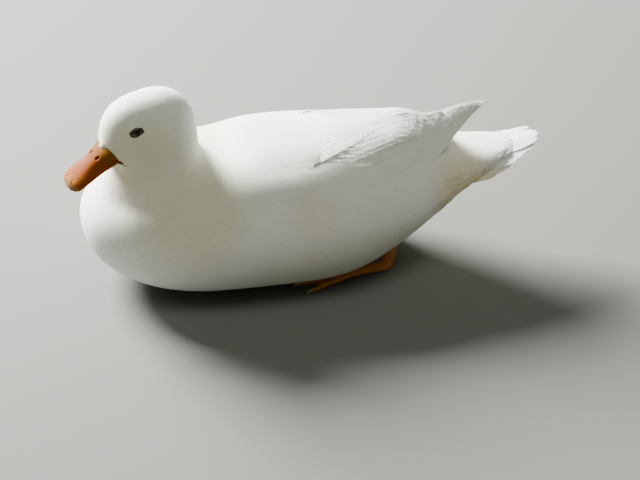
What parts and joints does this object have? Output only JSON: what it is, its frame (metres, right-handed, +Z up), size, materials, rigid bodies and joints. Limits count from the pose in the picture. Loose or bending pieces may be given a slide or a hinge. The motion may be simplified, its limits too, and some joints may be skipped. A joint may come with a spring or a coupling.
{
  "type": "call duck",
  "caption": "White bantam call duck at rest on its belly, head turned a little to its left, wings folded, feet tucked under.",
  "frame": {"origin": "centre of the bounding box on the floor, under the bird's belly", "axes": "+Z up; the bird looks along -X with its tail towards +X; its left side is at -Y"},
  "size_m": [0.2986, 0.124, 0.1327],
  "materials": {
    "plumage": "soft matt feathers",
    "bill_horn": "satin horn",
    "leg_skin": "fine scaled skin",
    "eye_dark": "wet gloss"
  },
  "bodies": {
    "root": {"torso": "plumage", "neck": "plumage", "head": "plumage", "tail": "plumage", "wing_left": "plumage", "wing_right": "plumage", "bill_upper": "bill_horn", "bill_lower": "bill_horn", "eye_left": "eye_dark", "eye_right": "eye_dark", "leg_left": "leg_skin", "leg_right": "leg_skin"}
  },
  "joints": []
}
